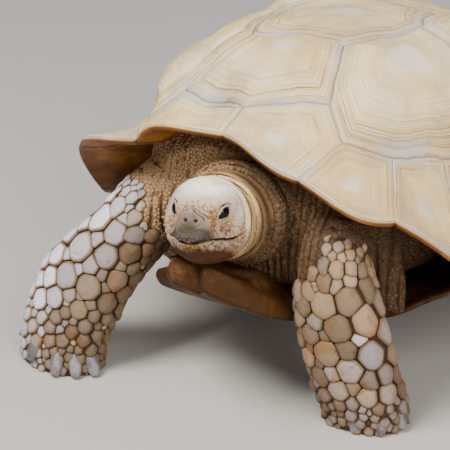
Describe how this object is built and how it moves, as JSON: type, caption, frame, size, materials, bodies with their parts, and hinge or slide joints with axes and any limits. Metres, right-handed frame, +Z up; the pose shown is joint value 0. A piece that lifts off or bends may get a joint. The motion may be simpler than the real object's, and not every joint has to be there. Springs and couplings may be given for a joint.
{
  "type": "sulcata tortoise",
  "caption": "Life-size adult African spurred tortoise, walking: domed ivory shell with flared rim, head out, heavily plated forelegs, claws and short tail.",
  "frame": {"origin": "on the floor below the middle of the whole animal", "axes": "+Z up; -Y forward, the way the animal walks; +X its left side"},
  "size_m": [0.5044, 0.7532, 0.3622],
  "materials": {
    "shell": "dry horn, ivory to tan with fine growth lines",
    "plastron": "dry horn, tan brown, worn smooth",
    "skin": "dry wrinkled skin, tan brown, finely granular",
    "head_scales": "dry scaly skin, pale grey with ochre cheeks and jaw",
    "limb_scales": "horny plates, beige with grey worn tops",
    "claw": "blunt horn, grey",
    "eye": "wet, near black"
  },
  "bodies": {
    "root": {"torso": "skin", "plastron": "plastron", "carapace": "shell", "head": "head_scales", "jaw": "head_scales", "neck": "skin", "eye_left": "eye", "eye_right": "eye", "upper_arm_left": "skin", "forearm_left": "limb_scales", "forefoot_left": "limb_scales", "forefoot_left_claw_1": "claw", "forefoot_left_claw_2": "claw", "forefoot_left_claw_3": "claw", "forefoot_left_claw_4": "claw", "forefoot_left_claw_5": "claw", "upper_arm_right": "skin", "forearm_right": "limb_scales", "forefoot_right": "limb_scales", "forefoot_right_claw_1": "claw", "forefoot_right_claw_2": "claw", "forefoot_right_claw_3": "claw", "forefoot_right_claw_4": "claw", "forefoot_right_claw_5": "claw", "thigh_left": "skin", "shank_left": "limb_scales", "hindfoot_left": "limb_scales", "hindfoot_left_claw_1": "claw", "hindfoot_left_claw_2": "claw", "hindfoot_left_claw_3": "claw", "hindfoot_left_claw_4": "claw", "thigh_right": "skin", "shank_right": "limb_scales", "hindfoot_right": "limb_scales", "hindfoot_right_claw_1": "claw", "hindfoot_right_claw_2": "claw", "hindfoot_right_claw_3": "claw", "hindfoot_right_claw_4": "claw", "tail": "skin"}
  },
  "joints": []
}
